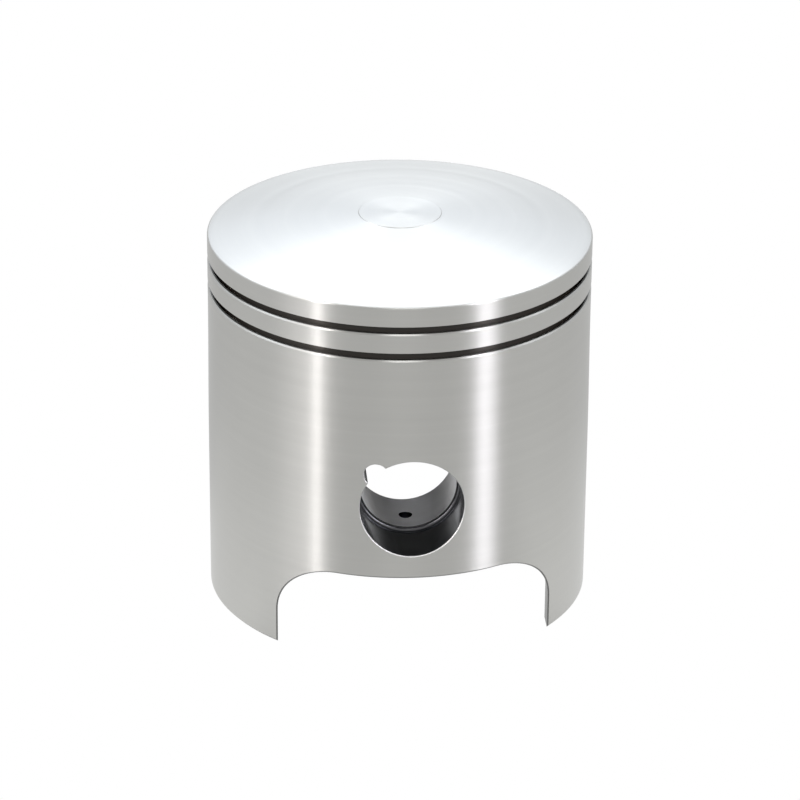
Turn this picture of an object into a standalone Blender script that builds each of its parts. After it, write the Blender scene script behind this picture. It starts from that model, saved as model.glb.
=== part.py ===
"""Two-stroke motorcycle piston with its rings, ring pegs, wrist pin and front circlip.

The piston is shown ready to go onto its connecting rod: the rings are closed to their size in
the cylinder, the front circlip is in, and the wrist pin is started in the rear boss, clear of
the space for the rod's small end. Metres, +Z up through the crown, the pin bore along Y. The
origin is the middle of the flat disc at the top of the crown.
"""

from math import asin, cos, hypot, pi, radians, sin

import bmesh
import bpy
from mathutils import Matrix, Vector

MM = 0.001

# Driving dimensions, for a 68 mm cylinder and an 18 mm wrist pin
CYLINDER_BORE = 68.0 * MM
PIN_DIAMETER = 18.0 * MM
TOTAL_HEIGHT = 71.3 * MM
RIM_HEIGHT = 67.8 * MM
PIN_HEIGHT = 30.0 * MM

# Outside of the body
SKIRT_CLEARANCE = 0.03 * MM
SKIRT_RADIUS = CYLINDER_BORE / 2 - SKIRT_CLEARANCE
LAND_RELIEF = 0.15 * MM
LAND_RADIUS = SKIRT_RADIUS - LAND_RELIEF
CROWN_FLAT_RADIUS = 7.25 * MM
CROWN_EDGE = 0.35 * MM
FOOT_CHAMFER = 0.5 * MM
TURNING_STEPS = 72
TOOL_OVERRUN = 2.0 * MM

# Ring grooves, measured above the foot of the skirt
GROOVE_TOPS = {"top": 64.2 * MM, "second": 59.35 * MM}
GROOVE_HEIGHT = 1.34 * MM
GROOVE_DEPTH = 3.0 * MM
GROOVE_ROOT_RADIUS = SKIRT_RADIUS - GROOVE_DEPTH
GROOVE_LIP = 0.36 * MM
BELT_BELOW_GROOVE = 3.0 * MM

# Rings and the pegs that stop them from turning
RING_HEIGHT = 1.2 * MM
RING_BELOW_LAND = 0.4 * MM
RING_OUTER_RADIUS = LAND_RADIUS - RING_BELOW_LAND
RING_EDGE = 0.12 * MM
RING_RADIAL_WIDTH = 2.35 * MM
RING_END_GAP = 0.35 * MM
RING_NOTCH_DEPTH = 1.65 * MM
PEG_RADIUS = 0.6 * MM
PEG_REACH = 1.5 * MM
PEG_BURIED = 2.2 * MM
PEG_HOLE_CLEARANCE = 0.03 * MM
PEG_HOLE_SPARE_DEPTH = 0.1 * MM
PEG_SLACK = 0.35 * MM
PEG_ANGLES = {"top": radians(172), "second": radians(145)}

# Hollow under the crown
WALL = 2.8 * MM
POCKET_RADIUS = SKIRT_RADIUS - WALL
POCKET_NECK_RADIUS = 27.6 * MM
POCKET_NECK_HEIGHT = 55.0 * MM
POCKET_SHOULDER_HEIGHT = 47.0 * MM
POCKET_CORNER = 6.0 * MM
POCKET_CORNER_HEIGHT = 57.0 * MM
POCKET_TOP_HEIGHT = 64.6 * MM
POCKET_TOP_RADIUS = 19.0 * MM
POCKET_TOP_EDGE_HEIGHT = 63.4 * MM

# Skirt arches, one in front and one behind
ARCH_HEIGHT = 16.6 * MM
ARCH_HALF_WIDTH = 24.0 * MM
ARCH_CORNER = 10.0 * MM
ARCH_OFFSET = 1.1 * MM

# Pin bosses and the bore through them
ROD_GAP = 23.6 * MM
BOSS_RADIUS = 13.0 * MM
BOSS_TOP_HALF_WIDTH = 9.0 * MM
BOSS_TOP_HEIGHT = 66.0 * MM
BOSS_END = 30.4 * MM
BORE_CLEARANCE = 0.04 * MM
BORE_RADIUS = PIN_DIAMETER / 2 + BORE_CLEARANCE
BORE_STEPS = 48
CLIP_GROOVE_PLACE = 23.9 * MM
CLIP_GROOVE_RADIUS = 9.65 * MM
CLIP_GROOVE_WIDTH = 1.3 * MM
NOTCH_ANGLE = radians(134.5)
NOTCH_PLACE = 8.95 * MM
NOTCH_RADIUS = 2.1 * MM
NOTCH_DEPTH_PAST_GROOVE = 0.6 * MM
OIL_HOLE_RADIUS = 1.2 * MM
OIL_HOLE_PLACE = 18.0 * MM

# Front circlip
CLIP_WIRE_RADIUS = 0.6 * MM
CLIP_CLEARANCE = 0.05 * MM
CLIP_RADIUS = CLIP_GROOVE_RADIUS - CLIP_WIRE_RADIUS - CLIP_CLEARANCE
CLIP_OPENING = radians(50)
CLIP_WIRE_SIDES = 10
CLIP_STEPS = 44

# Wrist pin, started in the rear boss
PIN_CLEARANCE = 0.02 * MM
PIN_RADIUS = PIN_DIAMETER / 2 - PIN_CLEARANCE
PIN_HOLLOW_RADIUS = 5.5 * MM
PIN_LENGTH = 46.4 * MM
PIN_CHAMFER = 0.5 * MM
PIN_MOUTH = 1.2 * MM
PIN_SHORT_OF_GAP = 0.5 * MM
PIN_START = ROD_GAP / 2 + PIN_SHORT_OF_GAP

FRONT = -1
REAR = 1


def level(height):
    """Turn a height above the foot of the skirt into a world Z."""
    return height - TOTAL_HEIGHT


def clear_scene():
    """Remove whatever objects the file holds."""
    for leftover in list(bpy.data.objects):
        bpy.data.objects.remove(leftover, do_unlink=True)


def metal(name, colour, roughness, metallic=1.0):
    """A Principled material of one metal finish."""
    material = bpy.data.materials.new(name)
    material.use_nodes = True
    shader = material.node_tree.nodes["Principled BSDF"]
    shader.inputs["Base Color"].default_value = (*colour, 1.0)
    shader.inputs["Roughness"].default_value = roughness
    shader.inputs["Metallic"].default_value = metallic
    return material


def add_object(name, mesh_builder, location=(0, 0, 0)):
    """Link a new object made from a bmesh, with its normals pointing out."""
    bmesh.ops.recalc_face_normals(mesh_builder, faces=mesh_builder.faces)
    mesh = bpy.data.meshes.new(name)
    mesh_builder.to_mesh(mesh)
    mesh_builder.free()
    new_object = bpy.data.objects.new(name, mesh)
    new_object.location = location
    bpy.context.scene.collection.objects.link(new_object)
    return new_object


def finish_round(piece, material, crease=radians(28)):
    """Give a finished piece its material and smooth shading between its sharp edges."""
    piece.data.materials.clear()
    piece.data.materials.append(material)
    piece.data.shade_smooth()
    piece.data.set_sharp_from_angle(angle=crease)


def spun(name, profile, steps, axis="Z", closed=False, location=(0, 0, 0)):
    """Spin a profile of (radius, along) points once around the Z or the Y axis."""
    builder = bmesh.new()
    spin_axis = Vector((0, 0, 1)) if axis == "Z" else Vector((0, 1, 0))
    points = [Vector((radius, 0, along)) if axis == "Z" else Vector((radius, along, 0))
              for radius, along in profile]
    verts = [builder.verts.new(point) for point in points]
    edges = [builder.edges.new(pair) for pair in zip(verts, verts[1:])]
    if closed:
        edges.append(builder.edges.new((verts[-1], verts[0])))
    bmesh.ops.spin(builder, geom=verts + edges, cent=(0, 0, 0), axis=spin_axis,
                   angle=2 * pi, steps=steps, use_merge=True)
    bmesh.ops.remove_doubles(builder, verts=builder.verts, dist=1e-7)
    return add_object(name, builder, location)


def extruded(name, outline, start, end, location=(0, 0, 0)):
    """Extrude an outline of (x, z) points along Y from start to end."""
    builder = bmesh.new()
    face = builder.faces.new([builder.verts.new((x, start, z)) for x, z in outline])
    pushed = bmesh.ops.extrude_face_region(builder, geom=[face])["geom"]
    moved = [item for item in pushed if isinstance(item, bmesh.types.BMVert)]
    bmesh.ops.translate(builder, verts=moved, vec=(0, end - start, 0))
    return add_object(name, builder, location)


def rod(name, radius, length, steps, location, direction):
    """A plain round bar, centred on location and pointing along direction."""
    builder = bmesh.new()
    bmesh.ops.create_cone(builder, cap_ends=True, segments=steps, radius1=radius,
                          radius2=radius, depth=length)
    bar = add_object(name, builder, location)
    bar.rotation_euler = Vector(direction).to_track_quat("Z", "X").to_euler()
    return bar


def block(name, size, location, turn=0.0):
    """A box of the given size, turned about Z."""
    builder = bmesh.new()
    bmesh.ops.create_cube(builder, size=1.0, matrix=Matrix.Diagonal((*size, 1.0)))
    box = add_object(name, builder, location)
    box.rotation_euler = (0, 0, turn)
    return box


def combine(target, tool, operation):
    """Add a Boolean of one tool to the target, and keep the tool out of the model."""
    modifier = target.modifiers.new(tool.name, "BOOLEAN")
    modifier.operation = operation
    modifier.solver = "EXACT"
    modifier.object = tool
    tool.hide_render = True
    tool.display_type = "WIRE"


def arc(centre_x, centre_z, radius, start, end, steps):
    """Points along an arc in the XZ plane, both ends included."""
    return [(centre_x + radius * cos(start + (end - start) * i / steps),
             centre_z + radius * sin(start + (end - start) * i / steps))
            for i in range(steps + 1)]


def crown_profile(steps=6):
    """The domed crown: a spherical arc from the edge of the flat disc down to the rim.

    The sphere passes through both circles, so its centre lies on the axis where the two
    distances are equal.
    """
    rim_radius = LAND_RADIUS - CROWN_EDGE
    rim_level = level(RIM_HEIGHT)
    centre = (rim_radius ** 2 + rim_level ** 2 - CROWN_FLAT_RADIUS ** 2) / (2 * rim_level)
    sphere_radius = hypot(CROWN_FLAT_RADIUS, centre)
    start = asin(CROWN_FLAT_RADIUS / sphere_radius)
    end = asin(rim_radius / sphere_radius)
    angles = [start + (end - start) * i / steps for i in range(steps + 1)]
    return [(sphere_radius * sin(angle), centre + sphere_radius * cos(angle)) for angle in angles]


def body_blank():
    """The turned outside: crown, edge break, lands, tapering skirt and foot."""
    belt_bottom = GROOVE_TOPS["second"] - GROOVE_HEIGHT - BELT_BELOW_GROOVE
    profile = [
        (0, 0),
        *crown_profile(),
        (LAND_RADIUS, level(RIM_HEIGHT - CROWN_EDGE)),
        (LAND_RADIUS, level(belt_bottom)),
        (SKIRT_RADIUS, level(PIN_HEIGHT)),
        (SKIRT_RADIUS, level(FOOT_CHAMFER)),
        (SKIRT_RADIUS - FOOT_CHAMFER, level(0)),
        (0, level(0)),
    ]
    return spun("piston_body", profile, TURNING_STEPS)


def pocket_cutter():
    """The hollow under the crown, with a rounded shoulder behind the ring grooves."""
    corner = arc(POCKET_NECK_RADIUS - POCKET_CORNER, POCKET_CORNER_HEIGHT, POCKET_CORNER,
                 0, pi / 2, 4)
    profile = [
        (0, level(POCKET_TOP_HEIGHT)),
        (POCKET_TOP_RADIUS, level(POCKET_TOP_EDGE_HEIGHT)),
        *[(radius, level(height)) for radius, height in reversed(corner)],
        (POCKET_NECK_RADIUS, level(POCKET_NECK_HEIGHT)),
        (POCKET_RADIUS, level(POCKET_SHOULDER_HEIGHT)),
        (POCKET_RADIUS, level(-TOOL_OVERRUN)),
        (0, level(-TOOL_OVERRUN)),
    ]
    return spun("pocket_cutter", profile, TURNING_STEPS)


def boss(side):
    """One pin boss: round under the pin, and a column that narrows up to the crown."""
    rise = BOSS_TOP_HEIGHT - PIN_HEIGHT
    reach = hypot(rise, BOSS_TOP_HALF_WIDTH)
    tangent = asin(BOSS_RADIUS / reach) - asin(BOSS_TOP_HALF_WIDTH / reach)
    lower_round = arc(0, level(PIN_HEIGHT), BOSS_RADIUS, pi - tangent, 2 * pi + tangent, 18)
    outline = [*lower_round,
               (BOSS_TOP_HALF_WIDTH, level(BOSS_TOP_HEIGHT)),
               (-BOSS_TOP_HALF_WIDTH, level(BOSS_TOP_HEIGHT))]
    name = "front_boss" if side == FRONT else "rear_boss"
    return extruded(name, outline, side * ROD_GAP / 2, side * BOSS_END)


def groove_cutter(name):
    """A ring groove with a small lip chamfer on its lower edge."""
    top = level(GROOVE_TOPS[name])
    bottom = top - GROOVE_HEIGHT
    outside = SKIRT_RADIUS + TOOL_OVERRUN
    over = outside - LAND_RADIUS
    profile = [
        (GROOVE_ROOT_RADIUS, top),
        (outside, top),
        (outside, bottom - GROOVE_LIP - over),
        (LAND_RADIUS - GROOVE_LIP, bottom),
        (GROOVE_ROOT_RADIUS, bottom),
    ]
    return spun(f"{name}_groove_cutter", profile, TURNING_STEPS, closed=True)


def arch_cutter():
    """The skirt arches: one prism along Y with two rounded top corners."""
    corner_x = ARCH_HALF_WIDTH - ARCH_CORNER
    corner_z = level(ARCH_HEIGHT - ARCH_CORNER)
    below = level(-TOOL_OVERRUN)
    outline = [(-ARCH_HALF_WIDTH, below), (ARCH_HALF_WIDTH, below),
               *arc(corner_x, corner_z, ARCH_CORNER, 0, pi / 2, 8),
               *arc(-corner_x, corner_z, ARCH_CORNER, pi / 2, pi, 8)]
    reach = SKIRT_RADIUS + TOOL_OVERRUN
    return extruded("arch_cutter", outline, -reach, reach, (ARCH_OFFSET, 0, 0))


def bore_cutter():
    """The pin bore with a circlip groove near each end, turned along Y."""
    reach = SKIRT_RADIUS + TOOL_OVERRUN
    inner = CLIP_GROOVE_PLACE - CLIP_GROOVE_WIDTH / 2
    outer = CLIP_GROOVE_PLACE + CLIP_GROOVE_WIDTH / 2
    half = [(BORE_RADIUS, inner), (CLIP_GROOVE_RADIUS, inner),
            (CLIP_GROOVE_RADIUS, outer), (BORE_RADIUS, outer), (BORE_RADIUS, reach), (0, reach)]
    mirrored = [(radius, -along) for radius, along in reversed(half)]
    return spun("bore_cutter", mirrored + half, BORE_STEPS, axis="Y",
                location=(0, 0, level(PIN_HEIGHT)))


def clip_notch_cutter(side):
    """The small notch beside a boss's bore where a pick reaches behind the circlip."""
    deep_end = CLIP_GROOVE_PLACE - CLIP_GROOVE_WIDTH / 2 - NOTCH_DEPTH_PAST_GROOVE
    shallow_end = SKIRT_RADIUS + TOOL_OVERRUN
    place = (NOTCH_PLACE * cos(NOTCH_ANGLE), side * (deep_end + shallow_end) / 2,
             level(PIN_HEIGHT) + NOTCH_PLACE * sin(NOTCH_ANGLE))
    name = "front_notch_cutter" if side == FRONT else "rear_notch_cutter"
    return rod(name, NOTCH_RADIUS, shallow_end - deep_end, 16, place, (0, 1, 0))


def oil_hole_cutter(side):
    """The oil hole from the underside of a boss up into its bore."""
    length = BOSS_RADIUS + TOOL_OVERRUN
    place = (0, side * OIL_HOLE_PLACE, level(PIN_HEIGHT) - length / 2)
    name = "front_oil_hole_cutter" if side == FRONT else "rear_oil_hole_cutter"
    return rod(name, OIL_HOLE_RADIUS, length, 12, place, (0, 0, 1))


def radial_place(angle, radius, height):
    """A place at an angle and radius about Z, at a height above the foot."""
    return (radius * cos(angle), radius * sin(angle), level(height))


def groove_middle(name):
    """Height above the foot of the middle of a ring groove."""
    return GROOVE_TOPS[name] - GROOVE_HEIGHT / 2


def peg_hole_cutter(name):
    """The hole in a groove's root that a ring peg is pressed into."""
    angle = PEG_ANGLES[name]
    inner = GROOVE_ROOT_RADIUS - PEG_BURIED - PEG_HOLE_SPARE_DEPTH
    outer = GROOVE_ROOT_RADIUS + TOOL_OVERRUN
    place = radial_place(angle, (inner + outer) / 2, groove_middle(name))
    return rod(f"{name}_peg_hole_cutter", PEG_RADIUS + PEG_HOLE_CLEARANCE, outer - inner, 12,
               place, (cos(angle), sin(angle), 0))


def piston_body(material):
    """The one-piece body, cut and built up in the order that a forging is machined."""
    body = body_blank()
    combine(body, pocket_cutter(), "DIFFERENCE")
    for side in (FRONT, REAR):
        combine(body, boss(side), "UNION")
    for name in GROOVE_TOPS:
        combine(body, groove_cutter(name), "DIFFERENCE")
    combine(body, arch_cutter(), "DIFFERENCE")
    combine(body, bore_cutter(), "DIFFERENCE")
    for side in (FRONT, REAR):
        combine(body, clip_notch_cutter(side), "DIFFERENCE")
        combine(body, oil_hole_cutter(side), "DIFFERENCE")
    for name in GROOVE_TOPS:
        combine(body, peg_hole_cutter(name), "DIFFERENCE")
    finish_round(body, material)
    return body


def ring_peg(name, material):
    """A short dowel in a groove's root, with most of its end standing in the groove."""
    angle = PEG_ANGLES[name]
    inner = GROOVE_ROOT_RADIUS - PEG_BURIED
    outer = GROOVE_ROOT_RADIUS + PEG_REACH
    place = radial_place(angle, (inner + outer) / 2, groove_middle(name))
    peg = rod(f"{name}_ring_peg", PEG_RADIUS, outer - inner, 12, place,
              (cos(angle), sin(angle), 0))
    finish_round(peg, material)
    return peg


def ring(name, material):
    """A split compression ring, closed to its size in the cylinder, notched round its peg."""
    inner = RING_OUTER_RADIUS - RING_RADIAL_WIDTH
    half = RING_HEIGHT / 2
    profile = [(inner, half), (RING_OUTER_RADIUS - RING_EDGE, half),
               (RING_OUTER_RADIUS, half - RING_EDGE), (RING_OUTER_RADIUS, RING_EDGE - half),
               (RING_OUTER_RADIUS - RING_EDGE, -half), (inner, -half)]
    height = level(groove_middle(name))
    piece = spun(f"{name}_ring", profile, TURNING_STEPS, closed=True, location=(0, 0, height))
    angle = PEG_ANGLES[name]
    tall = RING_HEIGHT + 2 * TOOL_OVERRUN
    gap = block(f"{name}_ring_gap_cutter",
                (RING_RADIAL_WIDTH + 2 * TOOL_OVERRUN, RING_END_GAP, tall),
                radial_place(angle, inner + RING_RADIAL_WIDTH / 2, groove_middle(name)), angle)
    notch_outer = inner + RING_NOTCH_DEPTH
    notch_inner = inner - TOOL_OVERRUN
    notch_width = 2 * (PEG_RADIUS + PEG_SLACK)
    notch = block(f"{name}_ring_notch_cutter", (notch_outer - notch_inner, notch_width, tall),
                  radial_place(angle, (notch_outer + notch_inner) / 2, groove_middle(name)),
                  angle)
    combine(piece, gap, "DIFFERENCE")
    combine(piece, notch, "DIFFERENCE")
    finish_round(piece, material)
    return piece


def wrist_pin(material):
    """The hollow pin, chamfered outside and flared at both mouths, turned along Y."""
    half = [(PIN_HOLLOW_RADIUS, PIN_LENGTH / 2 - 2 * PIN_MOUTH),
            (PIN_HOLLOW_RADIUS + PIN_MOUTH, PIN_LENGTH / 2),
            (PIN_RADIUS - PIN_CHAMFER, PIN_LENGTH / 2),
            (PIN_RADIUS, PIN_LENGTH / 2 - PIN_CHAMFER)]
    mirrored = [(radius, -along) for radius, along in reversed(half)]
    place = (0, PIN_START + PIN_LENGTH / 2, level(PIN_HEIGHT))
    pin = spun("wrist_pin", mirrored + half, BORE_STEPS, axis="Y", closed=True, location=place)
    finish_round(pin, material)
    return pin


def front_circlip(material):
    """Round spring wire bent to an open circle, its opening at the top of the bore."""
    builder = bmesh.new()
    start = pi / 2 + CLIP_OPENING / 2
    around = [2 * pi * i / CLIP_WIRE_SIDES for i in range(CLIP_WIRE_SIDES)]
    wire = [builder.verts.new((CLIP_RADIUS + CLIP_WIRE_RADIUS * cos(angle),
                               CLIP_WIRE_RADIUS * sin(angle), 0)) for angle in around]
    section = builder.faces.new(wire)
    bmesh.ops.rotate(builder, verts=wire, cent=(0, 0, 0), matrix=Matrix.Rotation(-start, 3, "Y"))
    bmesh.ops.spin(builder, geom=[section, *section.edges, *wire], cent=(0, 0, 0),
                   axis=(0, -1, 0), angle=2 * pi - CLIP_OPENING, steps=CLIP_STEPS)
    clip = add_object("front_circlip", builder, (0, -CLIP_GROOVE_PLACE, level(PIN_HEIGHT)))
    finish_round(clip, material, radians(50))
    return clip


def build():
    """Make every piece of the piston."""
    clear_scene()
    aluminium = metal("bare_aluminium", (0.78, 0.78, 0.77), 0.34)
    phosphate = metal("phosphated_iron", (0.09, 0.085, 0.08), 0.5, 0.7)
    ground_steel = metal("ground_steel", (0.62, 0.62, 0.63), 0.16)
    spring_steel = metal("oiled_spring_steel", (0.12, 0.12, 0.125), 0.35)
    piston_body(aluminium)
    for name in GROOVE_TOPS:
        ring_peg(name, ground_steel)
        ring(name, phosphate)
    wrist_pin(ground_steel)
    front_circlip(spring_steel)


build()
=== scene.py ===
"""Looks of a two-stroke piston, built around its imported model.

Every surface is worked out with numpy on a grid: a turned shape is a profile carried round an
axis, an edge break is a small section carried along an edge. Metres, +Z up, pin bore along Y.
"""

from __future__ import annotations

import logging
import math
from dataclasses import dataclass
from enum import Enum, IntEnum

import bpy
import numpy as np
from mathutils import Matrix, Vector


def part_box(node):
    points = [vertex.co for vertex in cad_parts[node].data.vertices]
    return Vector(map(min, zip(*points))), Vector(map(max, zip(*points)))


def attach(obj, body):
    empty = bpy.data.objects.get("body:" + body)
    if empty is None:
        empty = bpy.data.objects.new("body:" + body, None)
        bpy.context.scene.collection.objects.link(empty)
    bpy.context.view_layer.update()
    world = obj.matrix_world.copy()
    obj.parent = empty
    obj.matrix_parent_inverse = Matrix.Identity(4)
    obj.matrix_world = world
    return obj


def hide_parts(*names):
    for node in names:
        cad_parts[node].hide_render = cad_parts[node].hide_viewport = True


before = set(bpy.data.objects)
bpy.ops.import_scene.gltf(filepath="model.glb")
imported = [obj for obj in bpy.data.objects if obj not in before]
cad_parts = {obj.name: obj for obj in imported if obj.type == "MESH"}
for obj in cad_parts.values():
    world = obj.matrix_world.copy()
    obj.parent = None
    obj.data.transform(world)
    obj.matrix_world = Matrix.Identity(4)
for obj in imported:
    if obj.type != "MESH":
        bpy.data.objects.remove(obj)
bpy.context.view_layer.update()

log = logging.getLogger("piston")

MM = 0.001
TAU = 2 * math.pi


class Axis(Enum):
    """The axis that a turned piece is turned about."""

    Z = "z"
    Y = "y"


class Side(Enum):
    """The end of the pin bore: the front is towards -Y."""

    FRONT = -1.0
    REAR = 1.0


class Groove(Enum):
    """A ring groove, with the ring and the peg that belong to it."""

    TOP = "top"
    SECOND = "second"


class Cut(Enum):
    """How a tool acts on a piece of metal."""

    REMOVE = "DIFFERENCE"
    ADD = "UNION"
    KEEP = "INTERSECT"


class Finish(IntEnum):
    """The body's finishes and painted shades, by the number of the material slot that holds each.
    """

    FORGED = 0
    WALL = 1
    CROWN = 2
    BORE = 3
    FACED = 4
    # Dark colour painted on the arch's cut faces and broken edges: painted shade, not a finish of
    # the metal.
    EDGE = 5
    # Near-black colour painted in the bore's outer ends and the oil holes: painted shade and
    # painted reflection.
    PAINTED_MOUTH_SHADE = 6


# ---------------------------------------------------------------- grids and meshes


@dataclass
class Grid:
    """A surface on a grid of points, rows by columns, with the columns closed into loops.

    Attributes:
        points: Array of shape (rows, columns, 3).
        wrap_rows: True if the last row joins the first, as on a ring.
        caps: True if the first and last rows are closed by fans to their middles.
    """

    points: np.ndarray
    wrap_rows: bool = False
    caps: bool = True

    def arrays(self) -> tuple[np.ndarray, np.ndarray, np.ndarray]:
        """Work out the vertices and faces, turned to face outwards.

        Each quad joins point (i, j) to (i+1, j), (i+1, j+1) and (i, j+1). A cap joins each
        edge of an end row to the row's mean point. If the signed volume, a sixth of the sum of
        every triangle's triple product, is negative, every face is turned round.

        Returns:
            Vertices, quads and triangles.
        """
        rows, columns = self.points.shape[:2]
        verts = self.points.reshape(-1, 3)
        index = np.arange(rows * columns).reshape(rows, columns)
        here = index if self.wrap_rows else index[:-1]
        below = np.roll(index, -1, axis=0) if self.wrap_rows else index[1:]
        quads = np.stack([here, below, np.roll(below, -1, 1), np.roll(here, -1, 1)], -1)
        quads = quads.reshape(-1, 4)
        tris = np.zeros((0, 3), int)
        if self.caps and not self.wrap_rows:
            middles = self.points[[0, -1]].mean(axis=1)
            verts = np.vstack([verts, middles])
            first, last = rows * columns, rows * columns + 1
            top, bottom = index[0], index[-1]
            tris = np.vstack([
                np.stack([np.full(columns, first), top, np.roll(top, -1)], -1),
                np.stack([np.full(columns, last), np.roll(bottom, -1), bottom], -1),
            ])
        corners = verts[np.vstack([quads[:, :3], quads[:, [0, 2, 3]], tris])]
        triple = np.einsum("ij,ij->i", corners[:, 0], np.cross(corners[:, 1], corners[:, 2]))
        if triple.sum() < 0:
            quads, tris = quads[:, ::-1], tris[:, ::-1]
        return verts, quads, tris

    def to_object(self, name: str) -> bpy.types.Object:
        """Make a Blender object of this surface.

        Args:
            name: The object's name.

        Returns:
            The new object, linked to the scene, at the origin.
        """
        verts, quads, tris = self.arrays()
        mesh = bpy.data.meshes.new(name)
        mesh.vertices.add(len(verts))
        mesh.vertices.foreach_set("co", verts.astype(np.float32).ravel())
        corners = np.concatenate([quads.ravel(), tris.ravel()]).astype(np.int32)
        totals = np.concatenate([np.full(len(quads), 4), np.full(len(tris), 3)])
        starts = np.concatenate([[0], np.cumsum(totals)[:-1]])
        mesh.loops.add(len(corners))
        mesh.loops.foreach_set("vertex_index", corners)
        mesh.polygons.add(len(totals))
        mesh.polygons.foreach_set("loop_start", starts.astype(np.int32))
        mesh.polygons.foreach_set("loop_total", totals.astype(np.int32))
        mesh.update(calc_edges=True)
        mesh.validate()
        piece = bpy.data.objects.new(name, mesh)
        bpy.context.scene.collection.objects.link(piece)
        return piece


def circle(steps: int) -> np.ndarray:
    """Give evenly spaced angles once round a circle, without the repeated last one."""
    return TAU * np.arange(steps) / steps


def arc(centre: tuple[float, float], radius: float, start: float, end: float,
        steps: int) -> np.ndarray:
    """Give points along an arc: centre plus radius times (cosine, sine).

    Args:
        centre: The arc's centre.
        radius: Its radius.
        start: First angle, in degrees.
        end: Last angle, in degrees.
        steps: Number of steps, one fewer than the number of points.

    Returns:
        Array of shape (steps + 1, 2).
    """
    angles = np.radians(np.linspace(start, end, steps + 1))
    return np.stack([centre[0] + radius * np.cos(angles), centre[1] + radius * np.sin(angles)], 1)


def turned(profile: np.ndarray, steps: int, axis: Axis = Axis.Z,
           centre: tuple[float, float, float] = (0.0, 0.0, 0.0), ring: bool = False) -> Grid:
    """Carry a profile round an axis: each (radius, along) becomes a circle of that radius.

    Args:
        profile: Points as (radius, along), in order along the outside.
        steps: Number of steps round the axis.
        axis: The axis.
        centre: A point on the axis, which along is measured from.
        ring: True if the profile is a closed loop that doesn't touch the axis.

    Returns:
        The grid.
    """
    profile = np.asarray(profile, float)
    angles = circle(steps)
    radius, along = profile[:, :1], np.repeat(profile[:, 1:], steps, 1)
    across, up = radius * np.cos(angles), radius * np.sin(angles)
    stack = [across, up, along] if axis is Axis.Z else [across, along, up]
    return Grid(np.stack(stack, -1) + np.array(centre), wrap_rows=ring, caps=not ring)


def prism(outline: np.ndarray, start: float, end: float) -> Grid:
    """Carry an outline of (x, z) points straight along Y from start to end."""
    rows = [np.stack([outline[:, 0], np.full(len(outline), y), outline[:, 1]], 1)
            for y in (start, end)]
    return Grid(np.stack(rows))


def round_outline(centre: tuple[float, float], radius: float,
                  steps: int) -> tuple[np.ndarray, np.ndarray]:
    """Give a circle as (x, z), and the directions from its points to its centre."""
    spokes = np.stack([np.cos(circle(steps)), np.sin(circle(steps))], 1)
    return np.array(centre) + radius * spokes, -spokes


def unit(vectors: np.ndarray) -> np.ndarray:
    """Scale each vector to a length of one."""
    return vectors / np.linalg.norm(vectors, axis=-1, keepdims=True)


def edge_break(path: np.ndarray, first: np.ndarray, second: np.ndarray, width: float,
               closed: bool) -> Grid:
    """Make the tool that takes the sharp corner off an edge where two faces meet.

    At each point of the edge the section is a four-sided figure. Two corners lie on the faces,
    one width back from the edge, along each face and square to the edge. The other two are
    the same corners pushed out past the edge along the sum of both faces' normals.

    Args:
        path: Points along the edge, of shape (n, 3).
        first: The first face's outward normals there, of shape (n, 3).
        second: The second face's outward normals.
        width: How far back on each face the break starts.
        closed: True if the edge is a loop.

    Returns:
        The tool as a closed grid.
    """
    if closed:
        along = unit(np.roll(path, -1, 0) - np.roll(path, 1, 0))
    else:
        along = unit(np.gradient(path, axis=0))
    back = []
    for face, other in ((first, second), (second, first)):
        step = unit(np.cross(along, face))
        sign = -np.sign(np.einsum("ij,ij->i", step, other))
        back.append(path + width * step * sign[:, None])
    out = 4 * width * unit(first + second)
    section = np.stack([back[0], back[1], back[1] + out, back[0] + out], axis=1)
    return Grid(section, wrap_rows=closed, caps=not closed)


def boolean(piece: bpy.types.Object, tool: bpy.types.Object, cut: Cut) -> None:
    """Cut or join a piece with a tool, apply the result and remove the tool.

    Args:
        piece: The piece to change.
        tool: A closed tool.
        cut: How the tool acts.
    """
    modifier = piece.modifiers.new("cut", "BOOLEAN")
    modifier.object = tool
    modifier.operation = cut.value
    modifier.solver = "MANIFOLD"
    apply_modifiers(piece)
    bpy.data.objects.remove(tool, do_unlink=True)


def apply_modifiers(piece: bpy.types.Object) -> None:
    """Replace a piece's mesh by the mesh that its modifiers make of it.

    Args:
        piece: The piece.
    """
    depsgraph = bpy.context.evaluated_depsgraph_get()
    depsgraph.update()
    result = bpy.data.meshes.new_from_object(piece.evaluated_get(depsgraph))
    old = piece.data
    piece.modifiers.clear()
    piece.data = result
    result.name = piece.name
    if old.users == 0:
        bpy.data.meshes.remove(old)


def read(items: bpy.types.bpy_prop_collection, value: str, width: int = 1,
         kind: type = np.float32) -> np.ndarray:
    """Read one value of every item of a mesh, such as the middle of every face.

    Args:
        items: The mesh's vertices, loops, faces or corner normals.
        value: The value's name.
        width: How many numbers it has.
        kind: The kind of number.

    Returns:
        Array of shape (items, width), or (items,) for a single number.
    """
    numbers = np.zeros(len(items) * width, kind)
    items.foreach_get(value, numbers)
    return numbers.reshape(-1, width) if width > 1 else numbers


# ---------------------------------------------------------------- material building


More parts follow.
